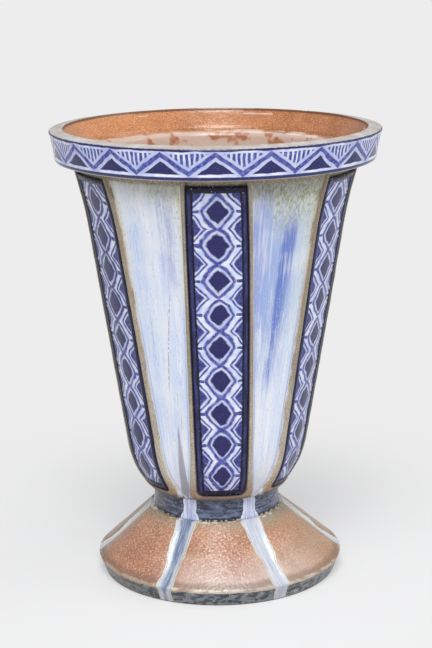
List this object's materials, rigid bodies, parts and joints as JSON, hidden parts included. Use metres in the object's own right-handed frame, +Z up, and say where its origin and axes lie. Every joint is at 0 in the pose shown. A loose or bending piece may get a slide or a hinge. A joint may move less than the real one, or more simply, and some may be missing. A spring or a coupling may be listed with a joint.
{
  "type": "cone vase",
  "caption": "Footed stoneware vase: a flared, fluted cone with framed panels laid on it, a straight banded rim, a short neck and a wide lobed foot.",
  "frame": {"origin": "middle of the foot's underside, on the table", "axes": "+Z up along the vase's axis; one panel faces -Y"},
  "size_m": [0.2444, 0.2444, 0.34],
  "materials": {
    "brown_glaze": "speckled orange-brown glaze, satin",
    "slate_glaze": "slate blue glaze, glossy and streaked",
    "running_glaze": "white and pale blue running glaze, satin",
    "painted_glaze": "white glaze with cobalt brushwork, glossy",
    "panel_glaze": "white glaze with cobalt brushwork in an ink-blue border, glossy",
    "bare_clay": "tan clay under a thin dry glaze, matt"
  },
  "bodies": {
    "root": {"foot": "brown_glaze", "neck_collar": "slate_glaze", "cone_wall": "running_glaze", "rim_band": "painted_glaze", "panel_1": "panel_glaze", "ridge_1": "bare_clay", "panel_2": "panel_glaze", "ridge_2": "bare_clay", "panel_3": "panel_glaze", "ridge_3": "bare_clay", "panel_4": "panel_glaze", "ridge_4": "bare_clay", "panel_5": "panel_glaze", "ridge_5": "bare_clay", "panel_6": "panel_glaze", "ridge_6": "bare_clay"}
  },
  "joints": []
}
